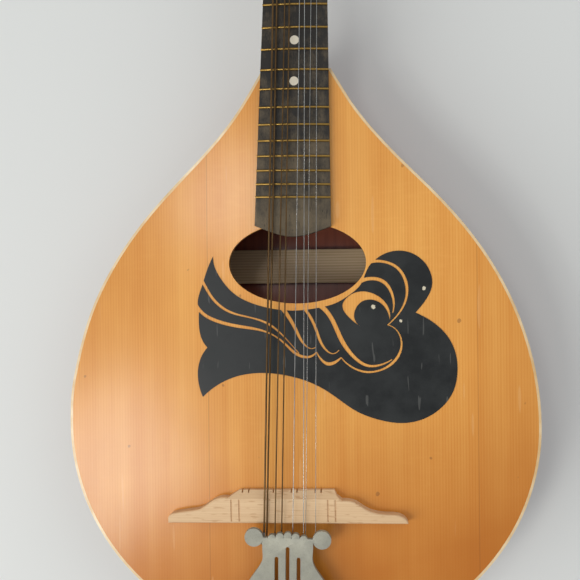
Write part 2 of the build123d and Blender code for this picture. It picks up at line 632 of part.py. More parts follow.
def button():
    """Flat oval thumb button with a round collar, drawn along Z, on the end of the worm shaft."""
    middle = BUTTON_START + BUTTON_L / 2 + 1.0
    oval = Plane.XZ * Pos(0, middle, 0) * Ellipse(BUTTON_HALF_W, BUTTON_L / 2 - 1.0)
    plate = extrude(oval, BUTTON_HALF_T, both=True)
    plate = fillet(plate.edges(), BUTTON_ROUND)
    whole = plate + disc(2.9, BUTTON_START, BUTTON_START + 4)
    return whole - disc(JOURNAL_R, BUTTON_START - 1, SHAFT_END)


def post(side, row):
    """String post with its gear seat, string hole and gear screw, and the turns of string on it.

    The turns are one plain ring as deep as the middle of the wire."""
    number = row if side < 0 else len(STRING_R) - 1 - row
    radius = STRING_R[number]
    coil = 2 * radius * (WOUND_TURNS if number < WOUND else PLAIN_TURNS)
    height = entry_height(row)
    barrel = disc(POST_R, GEAR_TOP, POST_TOP) + disc(GEAR_BORE_R, GEAR_BOTTOM, GEAR_TOP)
    barrel = chamfer(barrel.edges().group_by(Axis.Z)[-1], 0.6)
    hole_w = POST_TOP - STRING_HOLE_DOWN
    barrel -= rod((-5, 0, hole_w), (5, 0, hole_w), STRING_HOLE_R)
    barrel -= disc(GEAR_SCREW_R, GEAR_BOTTOM - 1, GEAR_BOTTOM + 5)
    screw = disc(GEAR_SCREW_R, GEAR_BOTTOM - 0.2, GEAR_BOTTOM + 4.5)
    screw += disc(GEAR_SCREW_HEAD_R, GEAR_BOTTOM - 1.4, GEAR_BOTTOM)
    screw -= block(-3, 3, -0.35, 0.35, GEAR_BOTTOM - 2, GEAR_BOTTOM - 0.8)
    turns = tube(POST_R + radius, POST_R, height - coil + radius, height + radius)
    return barrel, screw, turns


def machine_plate():
    """Base plate of four machines: post holes, screw holes and lugs for the worm shafts."""
    plate = slab(Pos(POST_U, PLATE_MIDDLE_V) * RectangleRounded(PLATE_W, PLATE_L, 5),
                 PLATE_BOTTOM, PLATE_TOP)
    for row in range(MACHINES):
        v = FIRST_POST_V + row * POST_PITCH
        worm_v = v + WORM_DISTANCE
        for start, stop in LUGS:
            plate += block(POST_U + start, POST_U + stop, worm_v - 2.8, worm_v + 2.8,
                           WORM_W - 2.6, PLATE_BOTTOM + 0.2)
        plate -= rod((0, worm_v, WORM_W), (60, worm_v, WORM_W), JOURNAL_R + RUN_GAP)
        plate -= Pos(POST_U, v) * disc(POST_R + RUN_GAP, PLATE_BOTTOM - 1, PLATE_TOP + 1)
    for v in plate_screw_places():
        plate -= Pos(POST_U, v) * disc(PLATE_SCREW_R, PLATE_BOTTOM - 1, PLATE_TOP + 1)
    return plate


def plate_screw(v):
    """Round-headed wood screw through the machine plate."""
    head = disc(2.0, PLATE_BOTTOM - 1.1, PLATE_BOTTOM)
    slot = block(-3, 3, -0.3, 0.3, PLATE_BOTTOM - 2, PLATE_BOTTOM - 0.7)
    return Pos(POST_U, v) * (disc(PLATE_SCREW_R, PLATE_BOTTOM, PLATE_TOP + PLATE_SCREW_L) + head - slot)


def on_side(piece, side):
    """Place a piece drawn at the treble side; mirror it for the bass side."""
    return HEAD * (piece if side > 0 else piece.mirror(Plane.YZ))


def along_worm(v):
    """Frame of a worm shaft: its Z runs outwards across the head, its X towards the tip."""
    return Location(Plane(origin=(POST_U, v + WORM_DISTANCE, WORM_W), x_dir=(0, 1, 0), z_dir=(1, 0, 0)))


def machines():
    """Plates, screws and bushings, and the four turning pieces of each machine."""
    sides = (-1, 1)
    save("machine_plates", *[on_side(machine_plate(), side) for side in sides])
    save("machine_screws", *[on_side(plate_screw(v), side) for side in sides
                             for v in plate_screw_places()])
    bushing = tube(BUSH_R, POST_R + RUN_GAP, -BUSH_DEPTH, 0) + tube(
        BUSH_FLANGE_R, POST_R + RUN_GAP, 0, BUSH_FLANGE_T)
    save("post_bushings", *[on_side(Pos(POST_U, v) * bushing, side) for side, _, v in post_places()])
    shaft, thumb, wheel = worm(), button(), gear()
    for side, row, v in post_places():
        name = f"{'bass' if side < 0 else 'treble'}_{row + 1}"
        save(f"worm_shaft_{name}", on_side(along_worm(v) * shaft, side))
        save(f"button_{name}", on_side(along_worm(v) * thumb, side))
        save(f"gear_{name}", on_side(Pos(POST_U, v) * wheel, side))
        save(f"post_{name}", *[on_side(Pos(POST_U, v) * piece, side) for piece in post(side, row)])


body()
pickguard()
neck_parts()
strings()
bridge()
tailpiece()
machines()
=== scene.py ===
"""Finishes and small pieces of a flat-backed teardrop mandolin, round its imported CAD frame."""
import json
import math

import bmesh
import bpy
import numpy as np
from mathutils import Matrix, Vector

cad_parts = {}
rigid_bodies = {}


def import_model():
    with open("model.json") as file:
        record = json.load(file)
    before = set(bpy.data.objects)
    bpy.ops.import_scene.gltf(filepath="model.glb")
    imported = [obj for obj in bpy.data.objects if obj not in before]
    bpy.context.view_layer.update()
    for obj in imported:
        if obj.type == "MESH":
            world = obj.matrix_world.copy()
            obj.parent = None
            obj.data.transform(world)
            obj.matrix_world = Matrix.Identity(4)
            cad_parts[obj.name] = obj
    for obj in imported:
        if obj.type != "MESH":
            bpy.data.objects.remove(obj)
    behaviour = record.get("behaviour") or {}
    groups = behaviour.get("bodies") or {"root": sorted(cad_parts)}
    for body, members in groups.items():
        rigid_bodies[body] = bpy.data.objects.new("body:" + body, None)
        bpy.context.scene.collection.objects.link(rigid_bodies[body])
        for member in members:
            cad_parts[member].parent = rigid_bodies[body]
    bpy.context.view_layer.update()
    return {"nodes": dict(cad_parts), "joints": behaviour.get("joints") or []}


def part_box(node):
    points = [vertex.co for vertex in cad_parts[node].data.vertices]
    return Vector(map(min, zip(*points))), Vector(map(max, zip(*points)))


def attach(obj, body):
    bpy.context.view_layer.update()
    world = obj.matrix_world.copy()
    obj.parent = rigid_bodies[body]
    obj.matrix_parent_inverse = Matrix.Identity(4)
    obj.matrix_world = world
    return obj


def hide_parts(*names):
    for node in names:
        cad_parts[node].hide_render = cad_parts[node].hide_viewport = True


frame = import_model()

bl_info = {
    "name": "Mandolin Finishes",
    "version": (1, 0, 0),
    "blender": (4, 5, 0),
    "location": "3D View > Sidebar > Mandolin",
    "description": "Woods, metals, string turns and studio for a teardrop mandolin",
    "category": "Object",
}

MM = 0.001
BODY_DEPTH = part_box("soundboard")[1].z
SIDES = ("bass", "treble")
MACHINES = 4                                                 # on each side
STRING_R = (0.48, 0.46, 0.34, 0.34, 0.2, 0.2, 0.15, 0.15)    # bass to treble, in millimetres
WOUND = 4                                                    # the first four strings are wound


# ---------------------------------------------------------------- settings
def linear(red, green, blue):
    """A screen colour of 0 to 255 as the linear colour that a shader takes."""
    screen = np.array((red, green, blue)) / 255
    return tuple(np.where(screen <= 0.04045, screen / 12.92, ((screen + 0.055) / 1.055) ** 2.4))


def colour(name, description, red, green, blue):
    """A colour setting, given as a screen colour."""
    return bpy.props.FloatVectorProperty(name=name, description=description, subtype="COLOR", size=3,
                                         min=0, max=1, default=linear(red, green, blue))


def length(name, description, millimetres):
    """A length setting."""
    return bpy.props.FloatProperty(name=name, description=description, subtype="DISTANCE",
                                   unit="LENGTH", min=0, default=millimetres * MM)


def share(name, description, value):
    """A setting from nothing to all."""
    return bpy.props.FloatProperty(name=name, description=description, subtype="FACTOR",
                                   min=0, max=1, default=value)


class WoodLook(bpy.types.PropertyGroup):
    """Colours and grain of the wooden pieces."""
    spruce_pale: colour("Pale spruce", "Early wood of the soundboard", 246, 182, 92)
    spruce_deep: colour("Deep spruce", "Late wood of the soundboard", 218, 138, 48)
    # Darker spruce for the strip past a glue line, and painted shade towards the soundboard's tail and
    # right side.
    spruce_dark_and_shade: colour("Darker spruce and shade", "Soundboard towards the tail", 186, 106, 22)
    ring: length("Ring width", "Width of one year of the soundboard's grain", 1.5)
    body_pale: colour("Pale body wood", "Lighter grain of back and ribs", 150, 74, 46)
    body_deep: colour("Deep body wood", "Darker grain of back and ribs", 92, 38, 24)
    inner_pale: colour("Pale inner wood", "Braces, linings and blocks", 216, 190, 150)
    inner_deep: colour("Deep inner wood", "Grain of the inner wood", 176, 142, 98)
    neck_pale: colour("Pale neck wood", "Lighter grain of the neck", 128, 66, 38)
    neck_deep: colour("Deep neck wood", "Darker grain of the neck", 74, 33, 20)
    beech_pale: colour("Pale beech", "Bridge", 226, 192, 148)
    beech_deep: colour("Deep beech", "Flecks and grain of the bridge", 196, 152, 108)
    board_worn: colour("Worn fretboard", "Where fingers have worn the board", 108, 95, 74)
    board_dark: colour("Dark fretboard", "Unworn stained wood", 33, 30, 25)
    coat: share("Lacquer", "Strength of the clear lacquer on the body", 0.7)


class HardwareLook(bpy.types.PropertyGroup):
    """Colours of plastic, bone and metal pieces."""
    binding: colour("Binding", "Cream strip round the soundboard", 236, 212, 168)
    guard: colour("Pickguard", "Black sheet below the sound hole", 21, 24, 24)
    dots: colour("Dots", "Position dots", 226, 216, 192)
    bone: colour("Nut", "Bone nut", 232, 222, 200)
    cast: colour("Cast metal", "Tailpiece", 166, 164, 148)
    steel: colour("Steel", "Plain strings and screws", 168, 168, 164)
    bronze: colour("Bronze wire", "Wound strings", 104, 80, 50)
    fret: colour("Fret metal", "Frets", 176, 140, 74)
    nickel: colour("Nickel", "Machine plates, posts and bushings", 190, 188, 180)
    brass: colour("Brass", "Gear wheels", 190, 150, 78)
    button: colour("Buttons", "Thumb buttons of the machines", 232, 222, 196)


class StageLook(bpy.types.PropertyGroup):
    """Floor, light and camera."""
    floor: colour("Floor", "Pale floor", 226, 228, 224)
    key_power: bpy.props.FloatProperty(name="Window light", unit="POWER", default=7.0, min=0,
                                       description="Power of the large light at the left")
    side_power: bpy.props.FloatProperty(name="Side light", unit="POWER", default=1.9, min=0,
                                        description="Power of the small light at the left")
    upper_power: bpy.props.FloatProperty(name="Upper light", unit="POWER", default=0.7, min=0,
                                         description="Power of the small light at the upper left")
    fill_power: bpy.props.FloatProperty(name="Fill light", unit="POWER", default=4.6, min=0,
                                        description="Power of the light from the head's side")
    lens: bpy.props.FloatProperty(name="Lens", unit="CAMERA", default=47.6, min=1,
                                  description="Focal length on a 36 mm sensor")


# ---------------------------------------------------------------- material making
class Finish:
    """A material under construction: its shader and the nodes that feed it."""

    def __init__(self, name, **sockets):
        self.material = bpy.data.materials.new(name)
        self.material.use_nodes = True
        self.tree = self.material.node_tree
        self.tree.nodes.clear()
        end = self.tree.nodes.new("ShaderNodeOutputMaterial")
        self.shader = self.tree.nodes.new("ShaderNodeBsdfPrincipled")
        self.tree.links.new(self.shader.outputs["BSDF"], end.inputs["Surface"])
        self.place = self.node("ShaderNodeTexCoord").outputs["Object"]
        for socket, value in sockets.items():
            self.set(socket.replace("_", " "), value)

    def set(self, socket, value):
        """Give a shader socket a value, or feed it from a node."""
        self.plug(self.shader.inputs[socket], value)

    def plug(self, socket, value):
        """Link a node's output, or set a plain value."""
        if isinstance(value, bpy.types.NodeSocket):
            self.tree.links.new(value, socket)
        elif socket.type == "RGBA" and len(value) == 3:
            socket.default_value = (*value, 1)
        else:
            socket.default_value = value

    def node(self, kind, inputs=None, **settings):
        """Add a node with its settings and inputs."""
        made = self.tree.nodes.new(kind)
        for name, value in settings.items():
            setattr(made, name, value)
        for key, value in (inputs or {}).items():
            self.plug(made.inputs[key], value)
        return made

    def moved(self, scale=(1, 1, 1), turn=0.0):
        """The piece's own coordinates, stretched, and turned about the upright axis."""
        return self.node("ShaderNodeMapping", {"Vector": self.place, "Scale": scale,
                                               "Rotation": (0, 0, turn)}).outputs["Vector"]

    def noise(self, vector, scale, detail=2.0, roughness=0.5):
        """Soft random pattern, 0 to 1; scale is in features per metre."""
        return self.node("ShaderNodeTexNoise", {"Vector": vector, "Scale": scale, "Detail": detail,
                                                "Roughness": roughness}).outputs["Fac"]

    def bands(self, vector, period, distortion, detail_scale=0.1, direction="X"):
        """Waving lines across one axis, with the given distance between them in metres."""
        inputs = {"Vector": vector, "Scale": math.pi / 10 / period, "Distortion": distortion,
                  "Detail": 1.0, "Detail Scale": detail_scale}
        made = self.node("ShaderNodeTexWave", inputs, wave_type="BANDS", bands_direction=direction)
        return made.outputs["Fac"]

    def between(self, value, low, high, to_low=0.0, to_high=1.0):
        """Stretch part of a value's range over another range, and stop at its ends."""
        inputs = {0: value, 1: low, 2: high, 3: to_low, 4: to_high}
        return self.node("ShaderNodeMapRange", inputs).outputs[0]

    def sum(self, operation, first, second):
        """One sum on two values."""
        return self.node("ShaderNodeMath", {0: first, 1: second}, operation=operation).outputs[0]

    def axis(self, name):
        """One of the piece's own coordinates, in metres."""
        return self.node("ShaderNodeSeparateXYZ", {0: self.place}).outputs[name]

    def mix(self, factor, first, second, mode="MIX"):
        """Two colours mixed by a factor."""
        made = self.node("ShaderNodeMix", data_type="RGBA", blend_type=mode)
        for index, value in ((0, factor), (6, first), (7, second)):
            self.plug(made.inputs[index], value)
        return made.outputs[2]

    def bump(self, height, distance, strength=1.0):
        """Raise the surface by a pattern."""
        inputs = {"Height": height, "Distance": distance, "Strength": strength}
        self.set("Normal", self.node("ShaderNodeBump", inputs).outputs["Normal"])


# Tones that no setting changes.
SEAM_LINE = linear(110, 66, 26)
SCRATCH_PALE = linear(250, 214, 158)
DENT_DARK = linear(120, 72, 34)
BINDING_YELLOWED = linear(214, 176, 118)
GUARD_RUBBED = linear(44, 48, 47)
GUARD_DUST = linear(112, 112, 106)
GUARD_SCRATCH = linear(150, 150, 144)
# Pale colour of the pickguard's spots, which are partly chips and partly painted glints.
GUARD_CHIP_AND_GLINT = linear(216, 206, 180)
BOARD_PIT = linear(22, 19, 17)
CAST_STAIN = linear(146, 145, 133)
CAST_SAND = linear(98, 96, 86)
VENEER_PALE = linear(52, 44, 40)
VENEER_DARK = linear(20, 17, 16)
FLOOR_CLOUD = linear(206, 208, 206)

# The scale of noise drawn out along the grain, and the axis on which the grain's lines follow
# one another. Round is for bent wood, with the grain level and going round the body.
GRAIN = {"X": (0.03, 1, 1), "Y": (1, 0.03, 1), "round": (0.05, 0.05, 1.6)}
ACROSS = {"X": "Y", "Y": "X", "round": "Z"}


def straight_wood(name, pale, deep, along, ring, coat=0.0, rough=0.5, fleck=0.0, lined=0.4):
    """Straight-grained wood: lines along one axis, in slowly changing tones, with fine pores.

    The lines are a wave across the grain, bent a little by noise; tone and pores are noise drawn
    out along the grain. Ring is the lines' distance in metres, lined their weight, and fleck that
    of the short dark flecks."""
    made = Finish(name, Coat_Weight=coat, Coat_Roughness=0.16)
    long_way = made.moved(GRAIN[along])
    lines = made.bands(long_way, ring, 9.0, 0.06, ACROSS[along])
    pores = made.noise(long_way, 900, 3, 0.6)
    tone = made.noise(long_way, 22, 3, 0.55)
    grain = made.sum("ADD", made.sum("MULTIPLY", lines, lined), made.sum("MULTIPLY", pores, 0.6))
    grain = made.sum("ADD", grain, made.between(tone, 0.3, 0.7, -0.25, 0.25))
    shade = made.mix(made.between(grain, 0.2, 0.95), pale, deep)
    if fleck:
        flecks = made.between(made.noise(made.moved((0.16, 1, 1)), 900, 1, 0.4), 0.62, 0.7)
        shade = made.mix(made.sum("MULTIPLY", flecks, fleck), shade, deep)
    made.set("Base Color", shade)
    made.set("Roughness", made.between(pores, 0.3, 0.7, rough - 0.07, rough + 0.07))
    made.bump(pores, 0.00005, 0.35)
    return made.material


SEAMS = ((-0.0486, 0.0), (0.093, 0.10))   # x of each glue line, and how much darker the wood past it is
SEAM_HALF = 0.00035                       # half a glue line's width, in metres
SCRATCHES = ((0.35, 210, 0.79), (-0.7, 260, 0.80))   # turn, features a metre, and the peaks that show


def soundboard_wood():
    """Lacquered spruce: fine year lines along the strings, cross silk, seams, dents and scratches.

    The strip past the last glue line is a little darker. Painted shade darkens the board towards its
    tail and its right side, and the board is also a little darker towards its left side. Cross silk is
    noise drawn out across the grain. Scratches are the rare peaks of noise drawn out very long and
    turned, and dents those of round noise."""
    look = bpy.context.scene.mandolin_wood
    made = Finish("soundboard_spruce", Coat_Weight=look.coat, Coat_Roughness=0.2,
                  Specular_IOR_Level=0.2)
    x, y = made.axis("X"), made.axis("Y")
    long_way = made.moved((1, 0.02, 1))
    lines = made.between(made.bands(long_way, look.ring, 14.0, 0.035), 0.25, 1.0)
    wide = made.noise(long_way, 60, 3, 0.6)
    fine = made.noise(long_way, 1400, 2, 0.6)
    grain = made.sum("ADD", made.sum("MULTIPLY", lines, 0.19), made.sum("MULTIPLY", fine, 0.38))
    grain = made.sum("ADD", grain, made.between(wide, 0.32, 0.68, -0.12, 0.34))
    silk_map = made.noise(made.moved((0.25, 1, 1), turn=0.06), 420, 2, 0.55)
    silk_where = made.between(made.noise(made.moved(), 14, 2), 0.42, 0.62)
    silk = made.sum("MULTIPLY", made.between(silk_map, 0.5, 0.75), silk_where)
    shade = made.mix(made.between(grain, 0.05, 0.85), look.spruce_pale, look.spruce_deep)
    shade = made.mix(made.sum("MULTIPLY", silk, 0.22), shade, look.spruce_pale)
    # Painted shade: the board darkens towards the tail and the right side, away from the lights at the
    # left. It is also a little darker towards its left side and in random patches.
    slanted = made.sum("SUBTRACT", y, made.sum("MULTIPLY", x, 0.35))
    low = made.between(slanted, 0.0, -0.09, 0.0, 0.8)
    left = made.between(x, -0.12, 0.06, 0.34, 0.0)
    patches = made.between(made.noise(made.moved((1, 0.5, 1)), 18, 3, 0.6), 0.35, 0.7, -0.08, 0.2)
    shade_and_tone = made.sum("ADD", made.sum("ADD", low, left), patches)
    shade = made.mix(shade_and_tone, shade, look.spruce_dark_and_shade)
    for seam, darker in SEAMS:
        beside = made.between(x, seam - 0.0002, seam + 0.0002, 0.0, darker)
        shade = made.mix(beside, shade, look.spruce_dark_and_shade)
        off = made.sum("ABSOLUTE", made.sum("SUBTRACT", x, seam), 0.0)
        line = made.between(off, 0.0, SEAM_HALF, 0.35, 0.0)
        shade = made.mix(line, shade, SEAM_LINE)
    marks = None
    for turn, scale, peak in SCRATCHES:
        path = made.noise(made.moved((1, 0.09, 1), turn=turn), scale, 0, 0.4)
        mark = made.between(path, peak, peak + 0.012)
        marks = mark if marks is None else made.sum("MAXIMUM", marks, mark)
    dents = made.between(made.noise(made.moved(), 210, 0, 0.4), 0.84, 0.87)
    shade = made.mix(made.sum("MULTIPLY", marks, 0.12), shade, SCRATCH_PALE)
    shade = made.mix(made.sum("MULTIPLY", dents, 0.45), shade, DENT_DARK)
    made.set("Base Color", shade)
    made.set("Roughness", made.between(wide, 0.3, 0.7, 0.32, 0.46))
    relief = made.sum("ADD", made.sum("MULTIPLY", lines, 0.5), made.sum("MULTIPLY", fine, 0.5))
    sunk = made.sum("MULTIPLY", made.sum("MAXIMUM", marks, dents), 1.5)
    made.bump(made.sum("SUBTRACT", relief, sunk), 0.00004, 0.4)
    return made.material


def binding_plastic():
    """Cream celluloid with soft clouds, duller where it has yellowed."""
    look = bpy.context.scene.mandolin_hardware
    made = Finish("cream_binding", Coat_Weight=0.4, Coat_Roughness=0.15)
    cloud = made.noise(made.moved(), 70, 4, 0.6)
    made.set("Base Color", made.mix(made.between(cloud, 0.35, 0.7), look.binding, BINDING_YELLOWED))
    made.set("Roughness", made.between(cloud, 0.3, 0.7, 0.3, 0.48))
    made.bump(made.noise(made.moved(), 900, 2), 0.00003, 0.3)
    return made.material


# Three pale spots on the pickguard, partly chips and partly painted glints: x, y, radius.
PALE_CHIPS_AND_GLINTS = ((0.0394, 0.0621, 0.0011), (0.0536, 0.0547, 0.0009), (0.0658, 0.0717, 0.0010))  # x, y, radius
GUARD_TOP = BODY_DEPTH + 0.0003           # height of the sheet's face, in metres


def guard_plastic():
    """Black sheet, rubbed grey in places, with fine scratches and three pale spots: chips down to pale
    wood and painted glints.
    """
    look = bpy.context.scene.mandolin_hardware
    made = Finish("black_guard", Specular_IOR_Level=0.4)
    rubbed = made.between(made.noise(made.moved(), 45, 4, 0.65), 0.4, 0.72)
    dust = made.between(made.noise(made.moved(), 2600, 2, 0.6), 0.62, 0.8)
    shade = made.mix(made.sum("MULTIPLY", rubbed, 0.5), look.guard, GUARD_RUBBED)
    shade = made.mix(made.sum("MULTIPLY", dust, 0.18), shade, GUARD_DUST)
    scratches = made.noise(made.moved((1, 0.1, 1), turn=1.1), 700, 0, 0.4)
    scratches = made.sum("MULTIPLY", made.between(scratches, 0.79, 0.81), 0.16)
    shade = made.mix(scratches, shade, GUARD_SCRATCH)
    ragged = made.noise(made.moved(), 1500, 2)
    # Painted glints and chips: pale spots with ragged edges round the points above.
    for x, y, radius in PALE_CHIPS_AND_GLINTS:
        off = made.node("ShaderNodeVectorMath", {0: made.place, 1: (x, y, GUARD_TOP)},
                        operation="DISTANCE").outputs["Value"]
        worn = made.sum("ADD", off, made.between(ragged, 0, 1, -0.0008, 0.0008))
        chip_and_glint = made.between(worn, radius * 0.8, radius, 1.0, 0.0)
        shade = made.mix(chip_and_glint, shade, GUARD_CHIP_AND_GLINT)
    made.set("Base Color", shade)
    made.set("Roughness", made.between(rubbed, 0, 1, 0.34, 0.55))
    made.bump(made.noise(made.moved(), 1800, 3, 0.6), 0.00003, 0.4)
    return made.material


def fretboard_wood():
    """Black-stained board, worn grey-brown in streaks along the strings and speckled with pores."""
    look = bpy.context.scene.mandolin_wood
    made = Finish("worn_fretboard", Specular_IOR_Level=0.35)
    streaks = made.noise(made.moved((1, 0.12, 1)), 260, 4, 0.65)
    speckle = made.noise(made.moved((1, 0.5, 1)), 1700, 3, 0.7)
    patches = made.noise(made.moved(), 60, 3, 0.6)
    wear = made.sum("ADD", made.sum("MULTIPLY", streaks, 0.5), made.sum("MULTIPLY", speckle, 0.35))
    wear = made.sum("ADD", wear, made.between(patches, 0.3, 0.7, -0.15, 0.2))
    wear = made.sum("ADD", wear, made.between(made.axis("Y"), 0.175, 0.12, -0.12, 0.12))
    shade = made.mix(made.between(wear, 0.32, 0.72), look.board_dark, look.board_worn)
    pits = made.between(made.noise(made.moved((1, 0.2, 1)), 1300, 1), 0.66, 0.72)
    shade = made.mix(made.sum("MULTIPLY", pits, 0.6), shade, BOARD_PIT)
    made.set("Base Color", shade)
    made.set("Roughness", made.between(wear, 0.3, 0.7, 0.5, 0.7))
    made.bump(made.sum("SUBTRACT", speckle, made.sum("MULTIPLY", pits, 0.8)), 0.00009, 0.5)
    return made.material


def metal(name, shade, rough, grain=900, stretch=(1, 1, 1), spots=0.25):
    """Metal with a faint texture: tone, dull spots and a fine relief are noise of three sizes."""
    made = Finish(name, Metallic=1.0)
    tone = made.noise(made.moved(stretch), grain, 3, 0.6)
    dull = made.between(made.noise(made.moved(), grain / 6, 3, 0.6), 0.45, 0.75)
    deep = tuple(part * 0.45 for part in shade)
    spotted = made.mix(made.sum("MULTIPLY", dull, spots), shade, deep)
    made.set("Base Color", made.mix(made.between(tone, 0.3, 0.8, 0.0, 0.3), spotted, deep))
    made.set("Roughness", made.between(dull, 0, 1, rough, min(1.0, rough + 0.22)))
    made.bump(tone, 0.00003, 0.4)
    return made.material


def cast_metal():
    """Dull cast alloy: a sandy skin with grey stains, half metal and half oxide."""
    look = bpy.context.scene.mandolin_hardware
    made = Finish("cast_alloy", Metallic=0.45, Specular_IOR_Level=0.5)
    sand = made.noise(made.moved(), 1500, 3, 0.65)
    stain = made.noise(made.moved(), 130, 4, 0.6)
    shade = made.mix(made.between(stain, 0.35, 0.75), look.cast, CAST_STAIN)
    shade = made.mix(made.between(sand, 0.55, 0.8, 0.0, 0.35), shade, CAST_SAND)
    made.set("Base Color", shade)
    made.set("Roughness", made.between(sand, 0.3, 0.7, 0.42, 0.58))
    made.bump(sand, 0.00008, 0.5)
    return made.material


def wire(name, shade, pitch, rough):
    """Wire with fine lines across it, at the given distance in metres, tarnished in stretches."""
    made = Finish(name, Metallic=0.9)
    tarnish = made.between(made.noise(made.moved((1, 0.3, 1)), 160, 3, 0.6), 0.4, 0.7)
    dark = tuple(part * 0.35 for part in shade)
    made.set("Base Color", made.mix(made.sum("MULTIPLY", tarnish, 0.6), shade, dark))
    made.set("Roughness", made.between(tarnish, 0, 1, rough, rough + 0.2))
    made.bump(made.bands(made.moved(), pitch, 0.0, direction="Y"), 0.00004, 0.5)
    return made.material


def smooth_plastic(name, shade, rough=0.3, coat=0.3):
    """Polished plastic or bone with soft clouds and faint rubbing."""
    made = Finish(name, Coat_Weight=coat, Coat_Roughness=0.12, Subsurface_Weight=0.06,
                  Subsurface_Radius=(0.002, 0.0015, 0.001))
    cloud = made.noise(made.moved((1, 0.5, 1)), 180, 4, 0.6)
    dark = tuple(part * 0.72 for part in shade)
    made.set("Base Color", made.mix(made.between(cloud, 0.4, 0.75, 0.0, 0.5), shade, dark))
    made.set("Roughness", made.between(cloud, 0.3, 0.7, rough - 0.06, rough + 0.12))
    made.bump(made.noise(made.moved(), 2200, 2), 0.00002, 0.3)
    return made.material


def paint(material, *nodes):
    """Give CAD nodes a material."""
    for node in nodes:
        slots = frame["nodes"][node].data.materials
        slots.clear()
        slots.append(material)


def machine_names():
    """The names of the eight tuning machines."""
    return [f"{side}_{row + 1}" for side in SIDES for row in range(MACHINES)]


# ---------------------------------------------------------------- mesh making
def closed_tube(name, rings, material, body):
    """A mesh through an array of rings, shaped (rings, points round, 3), closed at both ends.

    Each ring joins the next with four-sided faces; a middle point and a fan close each end."""
    stations, around, _ = rings.shape
    points = np.concatenate([rings.reshape(-1, 3), rings[[0, -1]].mean(axis=1)])
    index = np.arange(stations * around).reshape(stations, around)
    beside = np.roll(index, -1, axis=1)
    sides = np.stack([index[:-1], beside[:-1], beside[1:], index[1:]], axis=-1).reshape(-1, 4)
    first = np.stack([beside[0], index[0], np.full(around, len(points) - 2)], axis=-1)
    last = np.stack([index[-1], beside[-1], np.full(around, len(points) - 1)], axis=-1)
    mesh = bpy.data.meshes.new(name)
    mesh.from_pydata(points.tolist(), [], sides.tolist() + first.tolist() + last.tolist())
    mesh.materials.append(material)
    mesh.polygons.foreach_set("use_smooth", np.ones(len(mesh.polygons), bool))
    mesh.update()
    piece = bpy.data.objects.new(name, mesh)
    bpy.context.scene.collection.objects.link(piece)
    if inside_out(mesh):
        mesh.flip_normals()
    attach(piece, body)
    return piece


def inside_out(mesh):
    """True if a closed mesh has a negative volume: the sum of each face's corner products."""
    mesh.calc_loop_triangles()
    corners = np.empty(len(mesh.loop_triangles) * 3, np.int32)
    mesh.loop_triangles.foreach_get("vertices", corners)
    places = np.empty(len(mesh.vertices) * 3)
    mesh.vertices.foreach_get("co", places)
    a, b, c = places.reshape(-1, 3)[corners.reshape(-1, 3)].transpose(1, 0, 2)
    return np.einsum("ij,ij->i", a, np.cross(b, c)).sum() < 0


UPRIGHT = (0.13, 0.21, 1.0)               # a direction that no path with flat turns runs along
LEVEL = (1.0, 0.2, 0.1)                   # the same for a path that climbs steeply
AROUND = 8                                # points round a wire
END_RINGS = 3                             # rings over which a wire's end rounds off


def wire_rings(path, radius):
    """Rings of a round wire along a path of points, shaped (points, 3), with rounded ends.

    The middle of each ring is a point of the path. Its plane is square to the path there: one
    axis is the path's direction crossed with a fixed one, the other crosses both. Near an end the
    radius falls like a half circle: the root of one minus the square of the way past END_RINGS."""
    along = np.gradient(path, axis=0)
    along /= np.linalg.norm(along, axis=1, keepdims=True)
    flat = abs(along[:, 2]).mean() < 0.7
    side = np.cross(along, UPRIGHT if flat else LEVEL)
    side /= np.linalg.norm(side, axis=1, keepdims=True)
    over = np.cross(side, along)
    from_start = np.arange(len(path))
    from_end = np.minimum(from_start, from_start[::-1])
    thick = radius * np.sqrt(1 - np.clip(1 - (from_end + 0.35) / END_RINGS, 0, 1) ** 2)
    angle = np.linspace(0, 2 * math.pi, AROUND, endpoint=False)
    circle = side[:, None] * np.cos(angle)[:, None] + over[:, None] * np.sin(angle)[:, None]
    return path[:, None] + circle * thick[:, None, None]


def axes_at(joint_name):
    """A turning joint's point, its axis, and two directions square to it."""
    joint = next(row for row in frame["joints"] if row["name"] == joint_name)
    axis = np.array(joint["axis"])
    across = np.cross((0, 1, 0), axis)
    across /= np.linalg.norm(across)
    return np.array(joint["pos_m"]), axis, across, np.cross(axis, across)


# ---------------------------------------------------------------- operators
class PAINT_OT_body(bpy.types.Operator):
    """Lacquered top, cream edge, stained back and ribs, pale wood inside"""
    bl_idname = "mandolin.paint_body"
    bl_label = "Body Woods"

    def execute(self, context):
        look = context.scene.mandolin_wood
        paint(soundboard_wood(), "soundboard")
        paint(binding_plastic(), "edge_binding")
        paint(straight_wood("stained_back", look.body_pale, look.body_deep, "Y", 0.005,
                            coat=0.5, rough=0.42, lined=0.15), "back_plate")
        paint(straight_wood("stained_ribs", look.body_pale, look.body_deep, "round", 0.005,
                            coat=0.5, rough=0.42, lined=0.12), "rib_left", "rib_right", "neck_block")
        paint(straight_wood("inner_braces", look.inner_pale, look.inner_deep, "X", 0.0016),
              "soundboard_braces", "back_braces", "tail_block")
        paint(straight_wood("inner_linings", look.inner_pale, look.inner_deep, "round", 0.002),
              "top_lining", "back_lining")
        paint(guard_plastic(), "pickguard")
        return {"FINISHED"}


